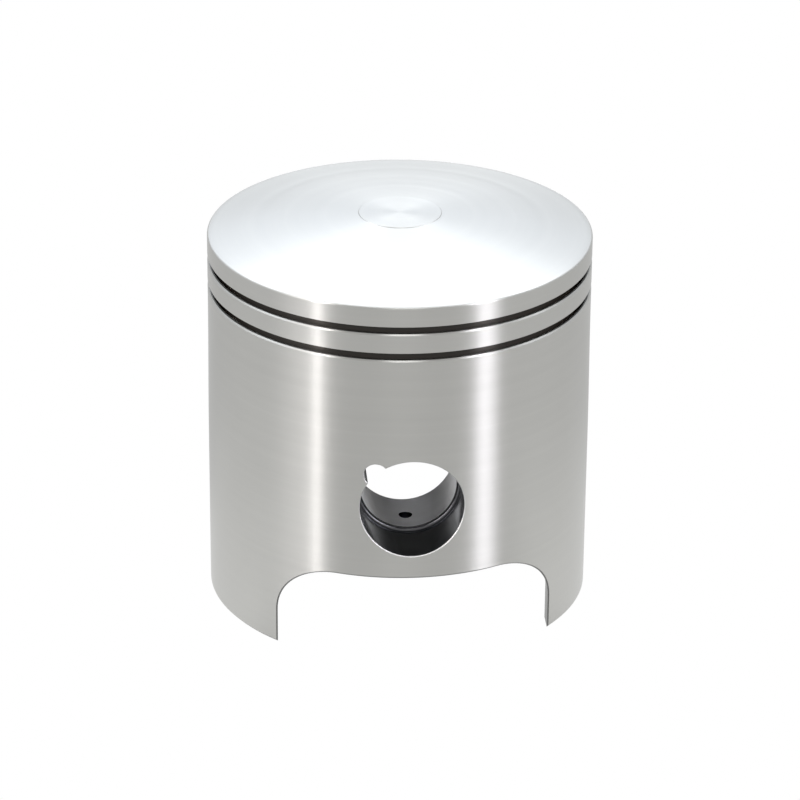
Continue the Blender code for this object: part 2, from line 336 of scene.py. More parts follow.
class NodeTree:
    """A node tree that is built up call by call.

    Attributes:
        tree: The tree.
    """

    def __init__(self, tree: bpy.types.NodeTree) -> None:
        """Work on a tree.

        Args:
            tree: The tree to add nodes to.
        """
        self.tree = tree

    def node(self, kind: str, *inputs: object, operation: str = "") -> bpy.types.Node:
        """Add a node and fill its first inputs in order.

        Args:
            kind: The node's type.
            *inputs: A socket to join, or a value to set, for each input. None skips one.
            operation: The node's operation, where it has one.

        Returns:
            The node.
        """
        node = self.tree.nodes.new(kind)
        if operation:
            node.operation = operation
        for place, value in enumerate(inputs):
            self.fill(node, place, value)
        return node

    def fill(self, node: bpy.types.Node, socket: str | int, value: object) -> None:
        """Join a socket to an input, or set the input's own value.

        Args:
            node: The node.
            socket: The input's name or number.
            value: The socket or the value. None leaves the input alone.
        """
        if isinstance(value, bpy.types.NodeSocket):
            self.tree.links.new(value, node.inputs[socket])
        elif value is not None:
            node.inputs[socket].default_value = value

    def math(self, operation: str, *values: object) -> bpy.types.NodeSocket:
        """Add a Math node and give its output."""
        return self.node("ShaderNodeMath", *values, operation=operation).outputs[0]

    def vector(self, operation: str, *values: object) -> bpy.types.NodeSocket:
        """Add a Vector Math node and give its vector output."""
        return self.node("ShaderNodeVectorMath", *values, operation=operation).outputs[0]

    def measure(self, operation: str, *values: object) -> bpy.types.NodeSocket:
        """Add a Vector Math node and give its number output."""
        return self.node("ShaderNodeVectorMath", *values, operation=operation).outputs[1]

    def spread(self, factor: bpy.types.NodeSocket, low: float, high: float,
               start: float = 0.3, end: float = 0.7,
               smooth_step: bool = False) -> bpy.types.NodeSocket:
        """Map start to end onto low to high, and hold the ends beyond them.

        Args:
            factor: The number to map.
            low: What start becomes.
            high: What end becomes.
            start: Where the change starts.
            end: Where it ends.
            smooth_step: True to ease it in and out.

        Returns:
            The mapped number.
        """
        node = self.node("ShaderNodeMapRange", factor, start, end, low, high)
        if smooth_step:
            node.interpolation_type = "SMOOTHSTEP"
        return node.outputs[0]

    def mix(self, factor: bpy.types.NodeSocket, low: object, high: object) -> bpy.types.NodeSocket:
        """Mix two colours.

        Args:
            factor: 0 for the first colour, 1 for the second.
            low: The first colour, or a socket that gives it.
            high: The second.

        Returns:
            The mixed colour.
        """
        node = self.node("ShaderNodeMix", factor)
        node.data_type = "RGBA"
        for socket, colour in ((6, low), (7, high)):
            if isinstance(colour, tuple):
                colour = (*colour, 1.0)
            self.fill(node, socket, colour)
        return node.outputs[2]

    def weigh(self, first: bpy.types.NodeSocket, second: bpy.types.NodeSocket,
              share: float) -> bpy.types.NodeSocket:
        """Add two patterns, the first by its share and the second by the rest of one."""
        return self.math("ADD", self.math("MULTIPLY", first, share),
                         self.math("MULTIPLY", second, 1 - share))


class Shader(NodeTree):
    """A node material around one Principled shader.

    Attributes:
        material: The material.
        principled: Its Principled shader.
        place: The place on the object, in metres.
    """

    def __init__(self, name: str, colour: tuple[float, float, float], roughness: float,
                 metallic: float = 1.0, anisotropy: float = 0.0) -> None:
        """Start a material with a plain Principled shader.

        Args:
            name: The material's name.
            colour: Its base colour, linear.
            roughness: Its roughness.
            metallic: How metallic it is.
            anisotropy: How far highlights stretch across the tool marks.
        """
        self.material = bpy.data.materials.new(name)
        self.material.use_nodes = True
        super().__init__(self.material.node_tree)
        self.principled = self.tree.nodes["Principled BSDF"]
        self.feed("Base Color", (*colour, 1.0))
        self.feed("Roughness", roughness)
        self.feed("Metallic", metallic)
        self.feed("Anisotropic", anisotropy)
        self.place = self.node("ShaderNodeTexCoord").outputs["Object"]

    def feed(self, socket: str, value: object) -> None:
        """Join a socket to one of the shader's inputs, or set the input's value."""
        self.fill(self.principled, socket, value)

    def shade(self, pattern: bpy.types.NodeSocket, colour: tuple[float, float, float],
              darkest: float, lightest: float) -> None:
        """Let the base colour follow a pattern between two shades of a colour.

        Args:
            pattern: The pattern, 0 to 1.
            colour: The colour.
            darkest: What the colour is multiplied by where the pattern is 0.
            lightest: The same where it is 1.
        """
        dark, light = (tuple(min(1.0, share * channel) for channel in colour)
                       for share in (darkest, lightest))
        self.feed("Base Color", self.mix(self.spread(pattern, 0.0, 1.0), dark, light))

    def noise(self, place: bpy.types.NodeSocket, scale: float, detail: float = 3.0,
              roughness: float = 0.55) -> bpy.types.NodeSocket:
        """Add a noise texture read at a place.

        Args:
            place: Where it is read, in metres.
            scale: Its scale, per metre.
            detail: Number of octaves.
            roughness: How strong the finer octaves are.

        Returns:
            The factor, around 0.5.
        """
        node = self.node("ShaderNodeTexNoise", place, None, scale, detail, roughness)
        return node.outputs[0]

    def round_axis(self, axis: Axis, height: float = 0.0) -> tuple[
            bpy.types.NodeSocket, bpy.types.NodeSocket, bpy.types.NodeSocket]:
        """Give the distance from an axis, the place along it, and the way round it.

        The way round is the cross product of the axis and the place.

        Args:
            axis: The axis.
            height: Z of an axis along Y.

        Returns:
            Distance, along and direction sockets.
        """
        moved = self.vector("SUBTRACT", self.place, (0.0, 0.0, height))
        line = (0.0, 0.0, 1.0) if axis is Axis.Z else (0.0, 1.0, 0.0)
        across = (1.0, 1.0, 0.0) if axis is Axis.Z else (1.0, 0.0, 1.0)
        flat = self.vector("MULTIPLY", moved, across)
        way = self.vector("NORMALIZE", self.vector("CROSS_PRODUCT", line, flat))
        return self.measure("LENGTH", flat), self.measure("DOT_PRODUCT", moved, line), way

    def bump(self, height: bpy.types.NodeSocket, distance: float, strength: float = 1.0) -> None:
        """Feed a height pattern to the shader's normal.

        Args:
            height: The pattern, 0 to 1.
            distance: How high 1 stands, in metres.
            strength: How much of it shows.
        """
        node = self.node("ShaderNodeBump")
        self.fill(node, "Height", height)
        self.fill(node, "Distance", distance)
        self.fill(node, "Strength", strength)
        self.feed("Normal", node.outputs[0])

    def across_marks(self, way: bpy.types.NodeSocket) -> None:
        """Stretch highlights square to tool marks that run the given way."""
        self.feed("Tangent", way)
        self.feed("Anisotropic Rotation", 0.25)


@dataclass(frozen=True)
class TurnedMetal:
    """Turned, bored or ground metal with fine marks that run round an axis.

    Attributes:
        name: The finish's name.
        axis: The axis that the marks run round.
        by_radius: True on a face square to the axis, False on a face along it.
        height: Z of an axis along Y.
        colour: The metal's colour, linear.
        roughness: Its roughness.
        anisotropy: How far highlights stretch across the marks.
        marks_per_metre: How fine the marks are.
        mark_depth: How deep they are.
        glance: How much the metal still brightens when seen at a low angle.
        streak: How many marks wide a streak is.
        streak_share: The streaks' share of the tone. The rest is cloud.
        clouds_per_metre: How fine the cloud is.
        darkest: The darkest tone's share of the colour.
        lightest: The lightest tone's share.
        uneven: How far the roughness strays, as a share of it.
    """

    name: str
    axis: Axis
    by_radius: bool
    height: float = 0.0
    colour: tuple[float, float, float] = (0.622, 0.62, 0.594)
    roughness: float = 0.3
    anisotropy: float = 1.0
    marks_per_metre: float = 9000.0
    mark_depth: float = 0.0000035
    glance: float = 1.0
    streak: float = 14.0
    streak_share: float = 0.7
    clouds_per_metre: float = 90.0
    darkest: float = 0.955
    lightest: float = 1.03
    uneven: float = 0.08

    def build(self) -> bpy.types.Material:
        """Make the material: streaks of tone and roughness, and a bump, that follow the marks.

        Returns:
            The material.
        """
        shader = Shader(self.name, self.colour, self.roughness, anisotropy=self.anisotropy)
        shader.feed("Specular Tint", (self.glance, self.glance, self.glance, 1.0))
        distance, along, way = shader.round_axis(self.axis, self.height)
        reading = distance if self.by_radius else along
        shader.across_marks(way)
        line = shader.node("ShaderNodeCombineXYZ", reading).outputs[0]
        fine = shader.noise(line, self.marks_per_metre, 2.0, 0.6)
        coarse = shader.noise(line, self.marks_per_metre / self.streak, 3.0, 0.6)
        cloud = shader.noise(shader.place, self.clouds_per_metre, 4.0)
        shader.shade(shader.weigh(coarse, cloud, self.streak_share), self.colour,
                     self.darkest, self.lightest)
        shader.feed("Roughness", shader.spread(coarse, self.roughness * (1 - self.uneven),
                                               self.roughness * (1 + self.uneven)))
        shader.bump(fine, self.mark_depth)
        return shader.material


@dataclass(frozen=True)
class ForgedAluminium:
    """The dull shot-blasted skin of a forging, left as it came inside the piston.

    Attributes:
        name: The finish's name.
        colour: The metal's colour, linear.
        darkest: The darkest tone's share of the colour.
        lightest: The lightest tone's share.
        roughness: Its middle roughness.
        smoother: How much smoother the grain's hollows are.
        rougher: How much rougher its tops are.
        clouds_per_metre: How fine the cloudy tone is.
        grain_per_metre: How fine the grain is.
        pits_per_metre: How fine the pits are.
        grain_share: The grain's share of the relief. The rest is pits.
        relief: How high the relief stands.
    """

    name: str = "forged_aluminium"
    colour: tuple[float, float, float] = (0.78, 0.78, 0.77)
    darkest: float = 0.82
    lightest: float = 1.12
    roughness: float = 0.52
    smoother: float = 0.08
    rougher: float = 0.1
    clouds_per_metre: float = 160.0
    grain_per_metre: float = 2400.0
    pits_per_metre: float = 900.0
    grain_share: float = 0.4
    relief: float = 0.16 * MM

    def build(self) -> bpy.types.Material:
        """Make the material: cloudy tone, fine pits and a soft pebbled bump.

        Returns:
            The material.
        """
        shader = Shader(self.name, self.colour, self.roughness)
        cloud = shader.noise(shader.place, self.clouds_per_metre, 5.0)
        grain = shader.noise(shader.place, self.grain_per_metre, 3.0, 0.65)
        pits = shader.noise(shader.place, self.pits_per_metre, 2.0)
        shader.shade(cloud, self.colour, self.darkest, self.lightest)
        shader.feed("Roughness", shader.spread(grain, self.roughness - self.smoother,
                                               self.roughness + self.rougher))
        shader.bump(shader.weigh(grain, pits, self.grain_share), self.relief, 0.7)
        return shader.material


@dataclass(frozen=True)
class CoatedSteel:
    """Dark blackened steel with a thin film of oil.

    Attributes:
        name: The finish's name.
        colour: The colour of its darkest spots, linear.
        worn: What the colour is multiplied by in the worn spots.
        roughness: Its middle roughness.
        smoother: How much smoother the grain's hollows are.
        rougher: How much rougher its tops are.
        mottles_per_metre: How fine the mottled tone is.
        grain_per_metre: How fine the grain is.
        relief: How high the grain stands.
    """

    name: str
    colour: tuple[float, float, float] = (0.1, 0.1, 0.105)
    worn: float = 1.25
    roughness: float = 0.18
    smoother: float = 0.04
    rougher: float = 0.06
    mottles_per_metre: float = 1300.0
    grain_per_metre: float = 7000.0
    relief: float = 0.02 * MM

    def build(self) -> bpy.types.Material:
        """Make the material: a mottled dark skin with a fine grain.

        Returns:
            The material.
        """
        shader = Shader(self.name, self.colour, self.roughness)
        mottle = shader.noise(shader.place, self.mottles_per_metre, 4.0, 0.6)
        grain = shader.noise(shader.place, self.grain_per_metre, 2.0)
        shader.shade(mottle, self.colour, 1.0, self.worn)
        shader.feed("Roughness", shader.spread(grain, self.roughness - self.smoother,
                                               self.roughness + self.rougher))
        shader.bump(grain, self.relief, 0.5)
        return shader.material


# ---------------------------------------------------------------- what the frame says


@dataclass(frozen=True)
class Datum:
    """The few places and sizes that several pieces share, most of them read from the frame.

    Attributes:
        foot: Z of the skirt's foot.
        skirt_radius: Radius of the skirt.
        pin_height: Z of the pin's axis.
        pin_radius: Radius of the pin.
        pin_near: Y of the pin's front end.
        pin_far: Y of its rear end.
        clip_place: How far from the cylinder's axis the clip grooves' middles are.
        ring_heights: Z of each ring's middle.
        ring_height: How high a ring is.
        ring_radius: Outer radius of a ring.
        peg_angles: Angle of each peg round the cylinder's axis.
        groove_depth: Depth of the ring grooves below the skirt.
        clip_groove_radius: Radius of the clip grooves' floors.
        clip_wire: Radius of the circlip's wire.
    """

    foot: float
    skirt_radius: float
    pin_height: float
    pin_radius: float
    pin_near: float
    pin_far: float
    clip_place: float
    ring_heights: dict[Groove, float]
    ring_height: float
    ring_radius: float
    peg_angles: dict[Groove, float]
    groove_depth: float = 3.0 * MM
    clip_groove_radius: float = 9.65 * MM
    clip_wire: float = 0.6 * MM

    @classmethod
    def from_frame(cls) -> "Datum":
        """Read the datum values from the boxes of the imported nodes.

        Returns:
            The datum.
        """
        body_low, body_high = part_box("piston_body")
        pin_low, pin_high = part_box("wrist_pin")
        clip_low, clip_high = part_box("front_circlip")
        rings = {groove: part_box(f"{groove.value}_ring") for groove in Groove}
        pegs = {groove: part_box(f"{groove.value}_ring_peg") for groove in Groove}
        middles = {groove: (low + high) / 2 for groove, (low, high) in pegs.items()}
        return cls(
            foot=body_low.z,
            skirt_radius=body_high.x,
            pin_height=(pin_low.z + pin_high.z) / 2,
            pin_radius=(pin_high.x - pin_low.x) / 2,
            pin_near=pin_low.y,
            pin_far=pin_high.y,
            clip_place=-(clip_low.y + clip_high.y) / 2,
            ring_heights={groove: (low.z + high.z) / 2 for groove, (low, high) in rings.items()},
            ring_height=rings[Groove.TOP][1].z - rings[Groove.TOP][0].z,
            ring_radius=rings[Groove.TOP][1].x,
            peg_angles={groove: math.atan2(mid.y, mid.x) for groove, mid in middles.items()},
        )

    @property
    def groove_root(self) -> float:
        """Radius of the ring grooves' roots."""
        return self.skirt_radius - self.groove_depth

    def to_peg(self, piece: bpy.types.Object, groove: Groove) -> None:
        """Carry a piece turned about the Y axis to the place and direction of a groove's peg."""
        turn = Matrix.Rotation(self.peg_angles[groove] - math.pi / 2, 4, "Z")
        piece.data.transform(Matrix.Translation((0, 0, self.ring_heights[groove])) @ turn)


# ---------------------------------------------------------------- the body


@dataclass
class PistonBody:
    """The one-piece body: a forging whose outside, bosses, bore and arches are machined.

    Heights of the forging's inside are above the foot, and angles are in degrees. A match is
    the least that a face's normal has to point in a direction to count as facing it, and
    across_match is the most for a face that counts as lying along it. One is all the way.

    Attributes:
        datum: Places and sizes from the frame.
    """

    datum: Datum
    steps: int = 640
    # crown
    hub: float = 0.4 * MM
    crown_flat: float = 7.2 * MM
    crown_step: float = 0.1 * MM
    crown_step_width: float = 0.12 * MM
    rim_drop: float = 3.5 * MM
    rim_round: float = 0.4 * MM
    rim_angle: float = 76.0
    # ring belt and skirt
    land_drop: float = 0.15 * MM
    belt_drop: float = 3.7 * MM
    groove_clearance: float = 0.07 * MM
    groove_lip: float = 0.24 * MM
    groove_lip_edge: float = 0.02 * MM
    groove_fillet: float = 0.15 * MM
    corner_break: float = 0.05 * MM
    skirt_lower: float = 12.0 * MM
    foot_taper: float = 0.01 * MM
    foot_taper_height: float = 4.0 * MM
    foot_chamfer: float = 0.5 * MM
    # forging
    wall: float = 2.8 * MM
    shoulder_height: float = 47.0 * MM
    neck_height: float = 55.0 * MM
    neck_radius: float = 27.6 * MM
    pocket_round: float = 6.0 * MM
    pocket_edge_drop: float = 7.6 * MM
    pocket_dish_radius: float = 19.0 * MM
    pocket_dish: float = 1.2 * MM
    pocket_top: float = 6.7 * MM
    pocket_hub: float = 0.5 * MM
    forging_allowance: float = 1.6 * MM
    voxel: float = 0.62 * MM
    softening: float = 0.5
    softening_rounds: int = 14
    # bosses
    boss_radius: float = 13.0 * MM
    boss_top_half: float = 9.0 * MM
    boss_overlap: float = 1.5 * MM
    boss_end: float = 30.4 * MM
    rod_gap: float = 23.6 * MM
    facing_allowance: float = 0.6 * MM
    facing_half: float = 13.6 * MM
    facing_top: float = -15.0 * MM
    # arches
    arch_rise: float = 16.6 * MM
    arch_half: float = 24.0 * MM
    arch_corner: float = 10.0 * MM
    arch_offset: float = 1.1 * MM
    arch_edge: float = 0.4 * MM
    # bore, notches and holes
    bore_clearance: float = 0.06 * MM
    bore_middle: float = 2.0 * MM
    bore_edge: float = 0.16 * MM
    clip_groove_width: float = 1.3 * MM
    notch_angle: float = 134.5
    notch_place: float = 8.95 * MM
    notch_radius: float = 2.1 * MM
    notch_depth: float = 0.6 * MM
    oil_hole_radius: float = 1.2 * MM
    oil_hole_place: float = 18.0 * MM
    peg_radius: float = 0.63 * MM
    peg_hole_depth: float = 2.3 * MM
    peg_drill_start: float = 0.5 * MM
    # how far tools run past the metal, and how finishes are told apart
    overrun: float = 4.0 * MM
    underrun: float = 3.0 * MM
    slack: float = 0.05 * MM
    inner_round: float = 0.6 * MM
    arch_margin: float = 1.0 * MM
    bore_margin: float = 0.3 * MM
    rim_margin: float = 0.5 * MM
    crease: float = 24.0
    facing_match: float = 0.98
    outward_match: float = 0.9
    upward_match: float = 0.6
    across_match: float = 0.3
    wall_match: float = 0.9995
    bore_match: float = 0.999

    @property
    def land_radius(self) -> float:
        """Radius of the ring lands."""
        return self.datum.skirt_radius - self.land_drop

    @property
    def bore_radius(self) -> float:
        """Radius of the pin bore."""
        return self.datum.pin_radius + self.bore_clearance

    def skirt_profile(self, top: float) -> np.ndarray:
        """Give the skirt's barrel: it eases out from the lands to full size at the pin.

        The radius grows by the land drop times half of one minus the cosine of the way down.

        Args:
            top: Z where the skirt starts.

        Returns:
            Points as (radius, z).
        """
        down = np.linspace(0, 1, 13)
        eased = (1 - np.cos(math.pi * down)) / 2
        radius = self.land_radius + self.land_drop * eased
        z = top + (self.datum.pin_height - top) * down
        foot = self.datum.foot
        full = self.datum.skirt_radius
        lower = [(full, foot + self.skirt_lower),
                 (full, foot + self.foot_chamfer + self.foot_taper_height),
                 (full - self.foot_taper, foot + self.foot_chamfer),
                 (full - self.foot_chamfer, foot)]
        return np.vstack([np.stack([radius, z], 1), lower])

    def crown_profile(self) -> np.ndarray:
        """Give the crown: a flat disc, a small step, then a spherical dome to a rounded rim.

        The sphere passes through the foot of the step and the inside of the rim, so its centre
        lies on the axis where the two distances are equal.

        Returns:
            Points as (radius, z).
        """
        start = np.array([self.crown_flat + self.crown_step_width, -self.crown_step])
        end = np.array([self.land_radius - self.rim_round, -self.rim_drop])
        centre = ((end @ end) - (start @ start)) / (2 * (end[1] - start[1]))
        size = math.hypot(start[0], start[1] - centre)
        angles = np.linspace(math.asin(start[0] / size), math.asin(end[0] / size), 44)
        dome = np.stack([size * np.sin(angles), centre + size * np.cos(angles)], 1)
        disc = np.stack([np.linspace(self.hub, self.crown_flat, 8), np.zeros(8)], 1)
        rim = arc((end[0], end[1] - self.rim_round), self.rim_round, self.rim_angle, 0, 6)
        return np.vstack([disc, dome[:-1], rim])

    def groove_profile(self, groove: Groove) -> np.ndarray:
        """Give one ring groove, with broken corners and a wider lip on its lower edge.

        Args:
            groove: The groove.

        Returns:
            Points as (radius, z).
        """
        middle = self.datum.ring_heights[groove]
        half = self.datum.ring_height / 2 + self.groove_clearance
        outer, root = self.land_radius, self.datum.groove_root
        corner, fillet, lip = self.corner_break, self.groove_fillet, self.groove_lip
        top, bottom = middle + half, middle - half
        return np.array([
            (outer, top + corner), (outer - corner, top), (root + fillet, top),
            (root, top - fillet), (root, bottom + fillet), (root + fillet, bottom),
            (outer - lip, bottom), (outer - corner, bottom - lip + corner),
            (outer, bottom - lip - self.groove_lip_edge),
        ])

    def outside(self) -> bpy.types.Object:
        """Make the turned solid that the forging is machined down to.

        Returns:
            The solid.
        """
        belt_bottom = self.datum.ring_heights[Groove.SECOND] - self.belt_drop
        profile = np.vstack([self.crown_profile(), *map(self.groove_profile, Groove),
                             self.skirt_profile(belt_bottom)])
        return turned(profile, self.steps).to_object("turned_outside")

    def forging(self) -> bpy.types.Object:
        """Make the rough forging: an oversize cup joined to two bosses, with soft fillets.

        The cup and the bosses are joined, remeshed with small voxels and smoothed, which
        rounds every inside corner. The outside is oversize, so it is all machined away.

        Returns:
            The forging.
        """
        extra = self.forging_allowance
        outer = self.datum.skirt_radius + extra
        inner = self.datum.skirt_radius - self.wall
        foot, ceiling = self.datum.foot, -self.pocket_top
        corner = arc((self.neck_radius - self.pocket_round, ceiling - self.pocket_edge_drop),
                     self.pocket_round, 90, 0, 8)
        profile = np.vstack([
            [(self.pocket_hub, extra), (outer, extra), (outer, foot - 2 * extra),
             (inner, foot - 2 * extra), (inner, foot + self.shoulder_height),
             (self.neck_radius, foot + self.neck_height)],
            corner[::-1],
            [(self.pocket_dish_radius, ceiling - self.pocket_dish), (self.pocket_hub, ceiling)],
        ])
        forging = turned(profile, self.steps // 4).to_object("piston_body_fine")
        for side in Side:
            boolean(forging, self.boss(side), Cut.ADD)
        remesh = forging.modifiers.new("voxels", "REMESH")
        remesh.mode = "VOXEL"
        remesh.voxel_size = self.voxel
        smooth = forging.modifiers.new("fillets", "SMOOTH")
        smooth.factor = self.softening
        smooth.iterations = self.softening_rounds
        apply_modifiers(forging)
        return forging

    def boss(self, side: Side) -> bpy.types.Object:
        """Make one rough boss: round under the pin, narrowing in a column up to the crown.

        The column's sides touch the round part. Where they leave it is the arcsine of the
        boss's radius over the reach, less the arcsine of the column's half width over the reach.

        Args:
            side: The front or the rear.

        Returns:
            The boss.
        """
        top = -self.pocket_top + self.boss_overlap
        rise = top - self.datum.pin_height
        reach = math.hypot(rise, self.boss_top_half)
        tangent = math.degrees(math.asin(self.boss_radius / reach)
                               - math.asin(self.boss_top_half / reach))
        lower = arc((0.0, self.datum.pin_height), self.boss_radius, 180 - tangent,
                    360 + tangent, 40)
        outline = np.vstack([lower, [(self.boss_top_half, top), (-self.boss_top_half, top)]])
        start = side.value * (self.rod_gap / 2 - self.facing_allowance)
        return prism(outline, start, side.value * self.boss_end).to_object("boss")

    def arch_outline(self) -> np.ndarray:
        """Give the arch: two upright sides and two quarter-round top corners.

        Returns:
            Points as (x, z).
        """
        foot, corner = self.datum.foot, self.arch_corner
        inset = self.arch_half - corner
        height = foot + self.arch_rise - corner
        left, right = self.arch_offset - inset, self.arch_offset + inset
        rise = np.linspace(foot - self.underrun, height, 12)[:-1]
        span = np.linspace(right, left, 60)[1:-1]
        return np.vstack([
            np.stack([np.full(len(rise), right + corner), rise], 1),
            arc((right, height), corner, 0, 90, 28),
            np.stack([span, np.full(len(span), height + corner)], 1),
            arc((left, height), corner, 90, 180, 28),
            np.stack([np.full(len(rise), left - corner), rise[::-1]], 1),
        ])

    def break_edge(self, body: bpy.types.Object, side: Side, outline: np.ndarray,
                   inward: np.ndarray, width: float, closed: bool) -> None:
        """Break the edge that an opening makes with the outer wall.

        The edge's Y is the root of the radius squared less x squared, and the wall's normal
        is (x, y, 0) scaled to one.

        Args:
            body: The body.
            side: The front or the rear.
            outline: The opening's outline, points as (x, z).
            inward: The directions from there into the opening, as (x, z).
            width: How far back on each face the break starts.
            closed: True if the outline is a loop.
        """
        y = side.value * np.sqrt(self.datum.skirt_radius ** 2 - outline[:, 0] ** 2)
        path = np.stack([outline[:, 0], y, outline[:, 1]], 1)
        hollow = np.stack([inward[:, 0], np.zeros(len(inward)), inward[:, 1]], 1)
        tool = edge_break(path, unit(path * (1, 1, 0)), hollow, width, closed)
        boolean(body, tool.to_object("edge_break"), Cut.REMOVE)

    def cut_arches(self, body: bpy.types.Object) -> None:
        """Mill the two skirt arches and break their outer edges.

        Args:
            body: The body.
        """
        outline = self.arch_outline()
        reach = self.datum.skirt_radius + self.overrun
        boolean(body, prism(outline, -reach, reach).to_object("arch"), Cut.REMOVE)
        centre = np.array([self.arch_offset, self.datum.foot + self.arch_rise - self.arch_corner])
        inset = self.arch_half - self.arch_corner
        nearest = np.stack([
            np.clip(outline[:, 0], centre[0] - inset, centre[0] + inset),
            np.minimum(outline[:, 1], centre[1]),
        ], 1)
        for side in Side:
            self.break_edge(body, side, outline, unit(nearest - outline), self.arch_edge, False)

    def bore_tool(self) -> bpy.types.Object:
        """Make the boring tool: the pin bore with a clip groove near each end.

        Returns:
            The tool.
        """
        reach = self.datum.skirt_radius + self.overrun
        half = self.clip_groove_width / 2
        inner, outer = self.datum.clip_place - half, self.datum.clip_place + half
        corner = self.corner_break
        bore, groove = self.bore_radius, self.datum.clip_groove_radius
        one = np.array([(bore, self.bore_middle), (bore, inner - corner),
                        (bore + corner, inner), (groove - corner, inner),
                        (groove, inner + corner), (groove, outer - corner),
                        (groove - corner, outer), (bore + corner, outer),
                        (bore, outer + corner), (bore, reach)])
        mirrored = one[::-1] * (1, -1)
        return turned(np.vstack([mirrored, one]), 192, Axis.Y,
                      (0, 0, self.datum.pin_height)).to_object("bore")

    def cut_bore(self, body: bpy.types.Object) -> None:
        """Bore the bosses, cut the clip notches and oil holes, and break the outer edges.

        Args:
            body: The body.
        """
        boolean(body, self.bore_tool(), Cut.REMOVE)
        pin = self.datum.pin_height
        angle = math.radians(self.notch_angle)
        notch = (self.notch_place * math.cos(angle), pin + self.notch_place * math.sin(angle))
        deep = self.datum.clip_place - self.clip_groove_width / 2 - self.notch_depth
        low = pin - self.boss_radius - self.underrun
        hole = np.array([(self.oil_hole_radius, pin), (self.oil_hole_radius, low)])
        for side in Side:
            ends = sorted((side.value * deep,
                           side.value * (self.datum.skirt_radius + self.overrun)))
            outline = round_outline(notch, self.notch_radius, 48)[0]
            boolean(body, prism(outline, *ends).to_object("notch"), Cut.REMOVE)
            for centre, radius in ((notch, self.notch_radius), ((0.0, pin), self.bore_radius)):
                outline, inward = round_outline(centre, radius, 144)
                self.break_edge(body, side, outline, inward, self.bore_edge, True)
            centre = (0, side.value * self.oil_hole_place, 0)
            boolean(body, turned(hole, 40, centre=centre).to_object("oil_hole"), Cut.REMOVE)

    def face_bosses(self, body: bpy.types.Object) -> None:
        """Mill the bosses' inner faces flat, as far up as the rod's small end reaches.

        Args:
            body: The body.
        """
        end, half, foot = self.rod_gap / 2, self.facing_half, self.datum.foot
        round_top = arc((0, self.facing_top - half), half, 0, 180, 48)
        outline = np.vstack([[(half, foot)], round_top, [(-half, foot)]])
        boolean(body, prism(outline, -end, end).to_object("facing"), Cut.REMOVE)

    def drill_peg_holes(self, body: bpy.types.Object) -> None:
        """Drill the blind holes in the grooves' roots that the ring pegs are pressed into.

        Args:
            body: The body.
        """
        root = self.datum.groove_root
        profile = np.array([(self.peg_radius, root + self.peg_drill_start),
                            (self.peg_radius, root - self.peg_hole_depth)])
        for groove in Groove:
            tool = turned(profile, 24, Axis.Y).to_object("peg_hole")
            self.datum.to_peg(tool, groove)
            boolean(body, tool, Cut.REMOVE)

    def build(self) -> bpy.types.Object:
        """Forge and machine the body.

        Returns:
            The finished body, shaded and dressed.
        """
        body = self.forging()
        boolean(body, self.outside(), Cut.KEEP)
        self.face_bosses(body)
        self.cut_arches(body)
        self.cut_bore(body)
        self.drill_peg_holes(body)
        self.dress(body)
        return body

    def finishes(self) -> dict[Finish, ForgedAluminium | TurnedMetal]:
        """Give the body's finishes: the forged skin, what each kind of cut leaves, and two dark
        colours of painted shade.

        Returns:
            The finishes, in the order of their slots.
        """
        pin = self.datum.pin_height
        return {
            Finish.FORGED: ForgedAluminium(),
            Finish.WALL: TurnedMetal("turned_wall", Axis.Z, by_radius=False),
            Finish.CROWN: TurnedMetal(
                "turned_crown", Axis.Z, by_radius=True, roughness=0.4, anisotropy=0.6,
                marks_per_metre=6000.0),
            # The bore's near-white colour is partly its finer bored finish and partly painted
            # light, brighter than the other machined aluminium.
            Finish.BORE: TurnedMetal(
                "bored_aluminium_painted_light", Axis.Y, by_radius=False, height=pin, roughness=0.42,
                colour=(0.95, 0.95, 0.97), anisotropy=0.2, marks_per_metre=8000.0,
                mark_depth=0.0015 * MM),
            Finish.FACED: TurnedMetal(
                "faced_aluminium", Axis.Y, by_radius=True, height=pin, anisotropy=0.6),
            # Painted shade: the arch's cut faces and broken edges are coloured dark so that they
            # look shaded.
            Finish.EDGE: TurnedMetal(
                "arch_edge_painted_shade", Axis.Y, by_radius=False, height=pin, colour=(0.2, 0.2, 0.195),
                anisotropy=0.3),
            # Painted shade: the bore beyond the clip grooves and the oil holes are coloured near
            # black, standing in for the dark reflection and shade in them.
            Finish.PAINTED_MOUTH_SHADE: TurnedMetal(
                "bore_mouth_painted_shade", Axis.Y, by_radius=False, height=pin, roughness=0.16,
                colour=(0.16, 0.165, 0.18), anisotropy=0.3, marks_per_metre=8000.0,
                mark_depth=0.001 * MM),
        }

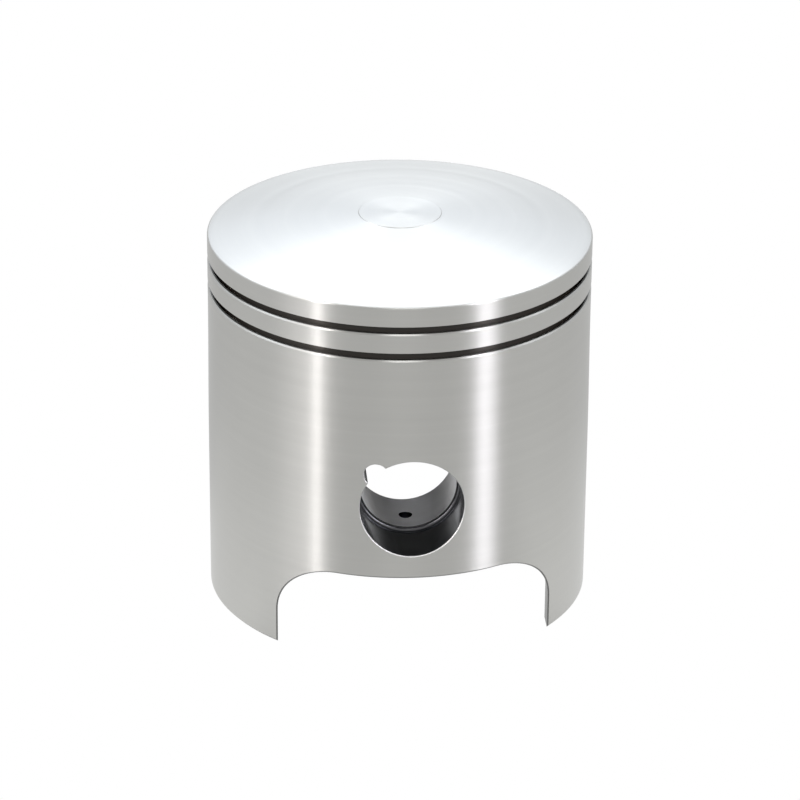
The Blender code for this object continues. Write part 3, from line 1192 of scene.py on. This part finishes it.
    def dress(self, body: bpy.types.Object) -> None:
        """Give each face the finish that its process left or its painted shade, and shade the
        round faces true.

        A face's process is told from its middle and its normal. Where two rules take the same
        face, the later one counts.

        Args:
            body: The machined body.
        """
        mesh = body.data
        mesh.materials.clear()
        for finish in self.finishes().values():
            mesh.materials.append(finish.build())
        x, y, z = read(mesh.polygons, "center", 3).astype(float).T
        nx, ny, nz = read(mesh.polygons, "normal", 3).astype(float).T
        pin, foot, skirt = self.datum.pin_height, self.datum.foot, self.datum.skirt_radius
        radius, from_pin, out = np.hypot(x, y), np.hypot(x, z - pin), np.abs(y)
        radial = (nx * x + ny * y) / np.maximum(radius, 1e-9)
        towards_pin = -(nx * x + nz * (z - pin)) / np.maximum(from_pin, 1e-9)
        from_oil_hole = np.hypot(x, out - self.oil_hole_place)
        in_arch = z < foot + self.arch_rise + self.arch_margin
        belt = z > self.datum.ring_heights[Groove.SECOND] - self.datum.ring_height
        bored = ((from_pin < self.datum.clip_groove_radius + self.slack)
                 & (out > self.rod_gap / 2) & (radius < skirt - self.bore_margin))
        rules = (
            (Finish.FACED, (out < self.rod_gap / 2 + self.slack)
             & (np.abs(ny) > self.facing_match)),
            (Finish.WALL, z < foot + self.slack),
            # Painted shade: the arch's cut faces and the breaks of its outer edges take the dark
            # colour.
            (Finish.EDGE, in_arch & (np.abs(ny) < self.across_match)
             & (np.abs(radial) < self.outward_match)
             & (radius > skirt - self.wall - self.inner_round)),
            (Finish.EDGE, in_arch & (radial < self.outward_match)
             & (radius > self.land_radius - self.arch_edge)),
            (Finish.BORE, bored),
            # Painted shade: the bore beyond the clip grooves, then the oil holes' walls, take the
            # near-black colour.
            (Finish.PAINTED_MOUTH_SHADE, bored & (out > self.datum.clip_place - self.clip_groove_width / 2)),
            (Finish.PAINTED_MOUTH_SHADE, (from_oil_hole < self.oil_hole_radius + self.slack) & (z < pin)
             & (np.abs(nz) < self.across_match)),
            (Finish.WALL, belt & (radius > self.datum.groove_root - self.slack)),
            (Finish.WALL, (radial > self.outward_match)
             & (radius > self.land_radius - self.rim_margin)),
            (Finish.CROWN, (nz > self.upward_match) & (z > -self.rim_drop - self.rim_round)),
        )
        index = np.full(len(z), Finish.FORGED, np.int32)
        for finish, where in rules:
            index[where] = finish
        mesh.polygons.foreach_set("material_index", index)
        mesh.shade_smooth()
        mesh.set_sharp_from_angle(angle=math.radians(self.crease))
        self.true_normals(mesh, (index == Finish.WALL) & (radial > self.wall_match),
                          np.isin(index, (Finish.BORE, Finish.PAINTED_MOUTH_SHADE))
                          & (towards_pin > self.bore_match))

    def true_normals(self, mesh: bpy.types.Mesh, on_wall: np.ndarray,
                     in_bore: np.ndarray) -> None:
        """Give the wall and the bore the normals of true cylinders.

        On the wall the normal is the place's own direction from the Z axis. In the bore it
        is the direction to the pin's axis.

        Args:
            mesh: The body's mesh.
            on_wall: For each face, whether it lies on the wall.
            in_bore: For each face, whether it lies in the bore.
        """
        normals = read(mesh.corner_normals, "vector", 3)
        place = read(mesh.vertices, "co", 3)[read(mesh.loops, "vertex_index", 1, np.int32)]
        totals = read(mesh.polygons, "loop_total", 1, np.int32)
        wall, bore = np.repeat(on_wall, totals), np.repeat(in_bore, totals)
        normals[wall] = unit(place[wall] * (1, 1, 0))
        normals[bore] = -unit((place[bore] - (0, 0, self.datum.pin_height)) * (1, 0, 1))
        mesh.normals_split_custom_set(normals)


# ---------------------------------------------------------------- rings, pegs, clip and pin


@dataclass
class CompressionRing:
    """A split ring closed to its size in the cylinder, with its ends notched round a peg.

    Attributes:
        groove: The groove that it lies in.
        datum: Places and sizes from the frame.
    """

    groove: Groove
    datum: Datum
    radial_width: float = 2.35 * MM
    end_gap: float = 0.35 * MM
    notch_depth: float = 1.65 * MM
    notch_half: float = 0.95 * MM
    face_crown: float = 0.05 * MM
    notch_step: float = 0.03 * MM
    corner: float = 0.1 * MM
    stations: int = 420
    crease: float = 40.0

    def build(self) -> bpy.types.Object:
        """Carry the ring's section round from one end to the other.

        A section has a slightly crowned outer face and rounded corners. Its inner side steps
        out to the notch's depth close to both ends.

        Returns:
            The ring.
        """
        outer = self.datum.ring_radius
        inner = outer - self.radial_width
        half = self.datum.ring_height / 2
        gap = self.end_gap / 2 / outer
        notch = self.notch_half / inner
        step = self.notch_step / inner
        way = np.concatenate([
            np.linspace(gap, notch - step, 4), [notch],
            np.linspace(notch + step, TAU - notch - step, self.stations),
            [TAU - notch], np.linspace(TAU - notch + step, TAU - gap, 4),
        ])
        from_end = np.minimum(way, TAU - way)
        inside = np.where(from_end < notch, inner + self.notch_depth, inner)[:, None]
        rise = np.linspace(-1, 1, 7)
        face = outer - self.face_crown * rise ** 2
        corner = self.corner
        across = np.concatenate([face, [outer - 2 * corner]])
        along = np.concatenate([rise * (half - corner), [half]])
        radius = np.hstack([
            np.repeat(across[None], len(way), 0), inside + corner, inside, inside,
            inside + corner, np.full((len(way), 1), outer - 2 * corner),
        ])
        height = np.concatenate([along, [half, half - corner, corner - half, -half, -half]])
        height = height + self.datum.ring_heights[self.groove]
        angles = self.datum.peg_angles[self.groove] + way[:, None]
        points = np.stack([radius * np.cos(angles), radius * np.sin(angles),
                           np.broadcast_to(height, radius.shape)], -1)
        ring = Grid(points).to_object(f"{self.groove.value}_ring_fine")
        dress(ring, self.crease, TurnedMetal(
            f"{self.groove.value}_ring_phosphate", Axis.Z, by_radius=False,
            colour=(0.052, 0.048, 0.044), mark_depth=0.002 * MM, glance=0.1))
        return ring


@dataclass
class RingPeg:
    """A steel dowel with a rounded end, pressed into a groove's root.

    Attributes:
        groove: The groove that it stands in.
        datum: Places and sizes from the frame.
    """

    groove: Groove
    datum: Datum
    radius: float = 0.6 * MM
    end_round: float = 0.36 * MM
    buried: float = 2.2 * MM
    buried_chamfer: float = 0.1 * MM
    reach: float = 1.5 * MM
    steps: int = 32
    crease: float = 35.0

    def build(self) -> bpy.types.Object:
        """Turn the dowel along Y, then point it outwards at its place in the groove.

        Returns:
            The peg.
        """
        root, chamfer = self.datum.groove_root, self.buried_chamfer
        rounded = arc((self.radius - self.end_round, root + self.reach - self.end_round),
                      self.end_round, 90, 0, 6)
        profile = np.vstack([rounded, [(self.radius, root - self.buried + chamfer),
                                       (self.radius - chamfer, root - self.buried)]])
        peg = turned(profile, self.steps, Axis.Y).to_object(f"{self.groove.value}_ring_peg_fine")
        self.datum.to_peg(peg, self.groove)
        dress(peg, self.crease, TurnedMetal(
            f"{self.groove.value}_peg_steel", Axis.Z, by_radius=False,
            colour=(0.6, 0.6, 0.61), roughness=0.25))
        return peg


@dataclass
class Circlip:
    """Round spring wire bent to an open circle, with rounded ends at the top of the bore.

    Attributes:
        datum: Places and sizes from the frame.
    """

    datum: Datum
    clearance: float = 0.05 * MM
    opening: float = 50.0
    stations: int = 150
    sides: int = 20
    dome_steps: int = 8
    dome_start: float = 0.97
    crease: float = 60.0

    def build(self) -> bpy.types.Object:
        """Carry the wire's round section along the open circle.

        The section shrinks to a dome at both ends: its radius is the wire's times the root of
        one less the square of the way into the dome.

        Returns:
            The circlip.
        """
        wire = self.datum.clip_wire
        ring = self.datum.clip_groove_radius - wire - self.clearance
        begin = math.radians(90 + self.opening / 2)
        end = math.radians(450 - self.opening / 2)
        into = np.linspace(self.dome_start, 0, self.dome_steps)
        dome, shrink = wire / ring * (1 - into), np.sqrt(1 - into ** 2)
        between = np.linspace(begin + wire / ring, end - wire / ring, self.stations)[1:-1]
        way = np.concatenate([begin + dome, between, (end - dome)[::-1]])
        size = wire * np.concatenate([shrink, np.ones(len(between)), shrink[::-1]])
        turn = circle(self.sides)
        radius = ring + size[:, None] * np.cos(turn)
        across = size[:, None] * np.sin(turn)
        points = np.stack([radius * np.cos(way[:, None]), across - self.datum.clip_place,
                           radius * np.sin(way[:, None]) + self.datum.pin_height], -1)
        clip = Grid(points).to_object("front_circlip_fine")
        dress(clip, self.crease, CoatedSteel("oiled_spring_steel"))
        return clip


@dataclass
class WristPin:
    """The hollow ground pin, with rounded outer edges and flared mouths.

    Attributes:
        datum: Places and sizes from the frame.
    """

    datum: Datum
    hollow: float = 5.5 * MM
    mouth: float = 1.2 * MM
    round_edge: float = 0.5 * MM
    lip: float = 0.12 * MM
    throat_width: float = 0.1 * MM
    throat_length: float = 0.25 * MM
    steps: int = 192
    crease: float = 32.0

    def build(self) -> bpy.types.Object:
        """Turn the pin's closed profile about the pin axis.

        Returns:
            The pin.
        """
        half = (self.datum.pin_far - self.datum.pin_near) / 2
        outer = self.datum.pin_radius
        edge = arc((outer - self.round_edge, half - self.round_edge), self.round_edge, 90, 0, 8)
        flare, throat = self.hollow + self.mouth, half - 2 * self.mouth
        one = np.vstack([
            [(self.hollow, throat), (self.hollow + self.throat_width, throat + self.throat_length),
             (flare - self.lip, half - self.lip), (flare + self.lip, half)],
            edge,
        ])
        along = np.linspace(half - self.round_edge, self.round_edge - half, 11)[1:-1]
        straight = np.stack([np.full(len(along), outer), along], 1)
        profile = np.vstack([one, straight, one[::-1] * (1, -1)])
        centre = (0.0, self.datum.pin_near + half, self.datum.pin_height)
        pin = turned(profile, self.steps, Axis.Y, centre, ring=True).to_object("wrist_pin_fine")
        dress(pin, self.crease, TurnedMetal(
            "ground_pin_steel", Axis.Y, by_radius=False, height=self.datum.pin_height,
            colour=(0.63, 0.63, 0.64), roughness=0.16, anisotropy=0.5,
            marks_per_metre=12000.0, mark_depth=0.0008 * MM))
        return pin


def dress(piece: bpy.types.Object, crease: float, finish: TurnedMetal | CoatedSteel) -> None:
    """Give a piece its finish, and shade it smooth except along its creases.

    Args:
        piece: The piece.
        crease: The angle between two faces, in degrees, from which their edge stays sharp.
        finish: The finish.
    """
    piece.data.materials.append(finish.build())
    piece.data.shade_smooth()
    piece.data.set_sharp_from_angle(angle=math.radians(crease))


def settle(piece: bpy.types.Object, body: str, node: str) -> None:
    """Tie a finished piece to the frame and report it.

    Args:
        piece: The piece.
        body: The body that it rides on.
        node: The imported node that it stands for.
    """
    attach(piece, body)
    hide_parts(node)
    log.info("%s: %d faces for %s", piece.name, len(piece.data.polygons), node)


# ---------------------------------------------------------------- stage


@dataclass(frozen=True)
class SoftPanel:
    """One soft light panel far off in the studio, with feathered edges.

    Azimuths are in degrees from straight in front of the piston, positive to its right.
    Elevations are in degrees above the floor. A feather is how far an edge takes to fade.

    Attributes:
        name: The panel's name.
        middle: Azimuth of its middle.
        width: How wide it is.
        low: Elevation of its lower edge.
        high: Elevation of its upper edge.
        radiance: How bright it is.
        feathers: Feathers of its left, right, lower and upper edges.
        colour: Its colour.
    """

    name: str
    middle: float
    width: float
    low: float
    high: float
    radiance: float
    feathers: tuple[float, float, float, float] = (4.0, 4.0, 1.0, 8.0)
    colour: tuple[float, float, float] = (1.0, 1.0, 1.0)

    def add(self, room: NodeTree, azimuth: bpy.types.NodeSocket,
            elevation: bpy.types.NodeSocket) -> bpy.types.NodeSocket:
        """Work out the panel's light in every direction: a product of four feathered edges.

        Args:
            room: The world's nodes.
            azimuth: The direction's azimuth.
            elevation: The direction's elevation.

        Returns:
            The light.
        """
        turn = room.math("WRAP", room.math("SUBTRACT", azimuth, self.middle), 180.0, -180.0)
        half = self.width / 2
        left, right, low, high = self.feathers
        edges = [(turn, -half, left), (turn, half, -right), (elevation, self.low, low),
                 (elevation, self.high, -high)]
        mask = 1.0
        for reading, start, feather in edges:
            mask = room.math("MULTIPLY", mask,
                             room.spread(reading, 0.0, 1.0, start, start + feather, True))
        light = tuple(self.radiance * part for part in self.colour)
        scaled = room.node("ShaderNodeVectorMath", light, operation="SCALE")
        scaled.name = self.name
        room.fill(scaled, "Scale", mask)
        return scaled.outputs[0]


@dataclass
class Studio:
    """A pale floor, a room of soft panels and the camera.

    Attributes:
        floor: Z of the floor.
        panels: The room's panels, the even room light first.
        table: How bright the floor is to the piston.
        side_glow: How much brighter it is close by on both sides.
        glow_reach: Distances from the middle between which that glow fades.
        glow_sides: Shares of the distance that lie sideways between which it sets in.
        far_front: How bright floor and room look far in front of the piston.
        floor_fade: Y between which the floor's look changes to that.
        room_fade: The same for the room, as the Y part of a direction.
        camera_azimuth: Where the camera stands, in degrees from straight in front.
        camera_elevation: Its angle above the level of its aim, in degrees.
        camera_distance: Its distance from its aim.
        aim_height: The aim's height above the floor.
        lens: Its focal length in millimetres, for a sensor of the width given.
        roll: How far it is turned about its line of sight, in degrees.
        shift: Its sideways shift, as a share of the sensor.
    """

    floor: float
    panels: tuple[SoftPanel, ...] = (
        SoftPanel("room", 0, 400, -100, 100, 0.6),
        SoftPanel("left_ramp", -68, 40, 0, 56, 2.2, (34, 4, 1, 20), (1.0, 0.965, 0.98)),
        SoftPanel("left_edge", -52.5, 8, 0, 56, 9.2, (5, 2, 1, 20), (1.0, 0.965, 0.98)),
        SoftPanel("right_strip", 48.5, 17, 0, 56, 8.0, (4, 8, 1, 20), (0.94, 0.92, 1.0)),
        SoftPanel("front_high", 0, 40, 52, 80, 2.6, (8, 8, 6, 8)),
        SoftPanel("left_side", -110, 60, 0, 50, 0.12, (20, 20, 1, 20)),
        SoftPanel("back_mid", 180, 150, 12, 45, 0.25, (30, 30, 10, 15), (0.80, 0.96, 1.2)),
        SoftPanel("back_glow", 180, 70, 12, 50, 0.7, (30, 30, 10, 15), (0.90, 0.97, 1.1)),
        SoftPanel("high_back", 180, 200, 33, 72, 2.15, (30, 30, 12, 15), (0.93, 0.98, 1.06)),
    )
    floor_half: float = 6.0
    floor_gap: float = 0.02 * MM
    table: float = 0.66
    side_glow: float = 0.22
    glow_reach: tuple[float, float] = (0.05, 0.14)
    glow_sides: tuple[float, float] = (0.6, 0.95)
    far_front: float = 0.76
    floor_fade: tuple[float, float] = (-0.3, -0.12)
    room_fade: tuple[float, float] = (-0.1, 0.0)
    camera_azimuth: float = -4.393
    camera_elevation: float = 25.191
    camera_distance: float = 0.6964
    aim_height: float = 0.03489
    lens: float = 175.08
    sensor: float = 36.0
    near_end: float = 0.01
    roll: float = 0.479
    shift: float = 0.0019

    def build(self) -> None:
        """Set up the whole stage."""
        self.lay_floor()
        self.light_room()
        self.place_camera()

    def lay_floor(self) -> None:
        """Lay a plain floor that looks white and lights the piston only as a grey table does.

        Its light towards the piston is even, with a soft extra glow close by on both sides. Well
        in front of the piston it turns slightly grey, so that the bright crown stands out
        against it from behind.
        """
        corners = self.floor_half * np.array([(-1, -1), (1, -1), (1, 1), (-1, 1)])
        points = np.column_stack([corners, np.full(4, self.floor - self.floor_gap)])
        mesh = bpy.data.meshes.new("floor")
        mesh.from_pydata(points.tolist(), [], [(0, 1, 2, 3)])
        floor = bpy.data.objects.new("floor", mesh)
        bpy.context.scene.collection.objects.link(floor)
        shader = Shader("pale_floor", (0.0, 0.0, 0.0), 1.0, metallic=0.0)
        shader.feed("Specular IOR Level", 0.0)
        apart = shader.round_axis(Axis.Z)[0]
        place = shader.node("ShaderNodeSeparateXYZ", shader.place).outputs
        sideways = shader.math("ABSOLUTE", place[0])
        near = shader.spread(apart, 1.0, 0.0, *self.glow_reach, True)
        beside = shader.spread(shader.math("DIVIDE", sideways, apart), 0.0, 1.0,
                               *self.glow_sides, True)
        extra = shader.math("MULTIPLY", shader.math("MULTIPLY", near, beside), self.side_glow)
        extra.node.name = "side_glow"
        light = shader.math("ADD", extra, self.table)
        light.node.name = "table"
        look = shader.spread(place[1], self.far_front, 1.0, *self.floor_fade, True)
        seen = shader.math("MULTIPLY", look,
                           shader.node("ShaderNodeLightPath").outputs["Is Camera Ray"])
        shader.feed("Emission Color", (1.0, 1.0, 1.0, 1.0))
        shader.feed("Emission Strength", shader.math("MAXIMUM", seen, light))
        mesh.materials.append(shader.material)

    def light_room(self) -> None:
        """Light the room with the panels. To the camera it has the floor's plain look all round.

        A direction's azimuth is the arctangent of x over minus y, and its elevation is the
        arcsine of z.
        """
        world = bpy.data.worlds.new("studio")
        world.use_nodes = True
        bpy.context.scene.world = world
        room = NodeTree(world.node_tree)
        way = room.node("ShaderNodeSeparateXYZ",
                        room.node("ShaderNodeTexCoord").outputs["Generated"]).outputs
        turn = room.math("ARCTAN2", way[0], room.math("MULTIPLY", way[1], -1.0))
        azimuth = room.math("MULTIPLY", turn, math.degrees(1))
        elevation = room.math("MULTIPLY", room.math("ARCSINE", way[2]), math.degrees(1))
        light = (0.0, 0.0, 0.0)
        for panel in self.panels:
            light = room.vector("ADD", light, panel.add(room, azimuth, elevation))
        seen = room.node("ShaderNodeLightPath").outputs["Is Camera Ray"]
        plain = room.spread(way[1], self.far_front, 1.0, *self.room_fade, True)
        room.fill(world.node_tree.nodes["Background"], "Color", room.mix(seen, light, plain))
        bpy.context.scene.view_settings.view_transform = "Standard"

    def place_camera(self) -> None:
        """Put up the camera, aimed at the middle of the piston."""
        azimuth, elevation = map(math.radians, (self.camera_azimuth, self.camera_elevation))
        away = Vector((math.sin(azimuth) * math.cos(elevation),
                       -math.cos(azimuth) * math.cos(elevation), math.sin(elevation)))
        aim = Vector((0, 0, self.floor + self.aim_height))
        camera = bpy.data.cameras.new("camera")
        camera.lens = self.lens
        camera.sensor_width = self.sensor
        camera.shift_x = self.shift
        camera.clip_start = self.near_end
        holder = bpy.data.objects.new("camera", camera)
        look = (-away).to_track_quat("-Z", "Y").to_matrix().to_4x4()
        turn = Matrix.Rotation(math.radians(self.roll), 4, "Z")
        holder.matrix_world = Matrix.Translation(aim + away * self.camera_distance) @ look @ turn
        bpy.context.scene.collection.objects.link(holder)
        bpy.context.scene.camera = holder


def main() -> None:
    """Build every piece around the frame, then the stage."""
    logging.basicConfig(level=logging.INFO, format="%(name)s %(message)s")
    datum = Datum.from_frame()
    settle(PistonBody(datum).build(), "piston", "piston_body")
    for groove in Groove:
        ring, peg = f"{groove.value}_ring", f"{groove.value}_ring_peg"
        settle(CompressionRing(groove, datum).build(), ring, ring)
        settle(RingPeg(groove, datum).build(), "piston", peg)
    settle(Circlip(datum).build(), "piston", "front_circlip")
    settle(WristPin(datum).build(), "wrist_pin", "wrist_pin")
    Studio(datum.foot).build()


if __name__ == "__main__":
    main()
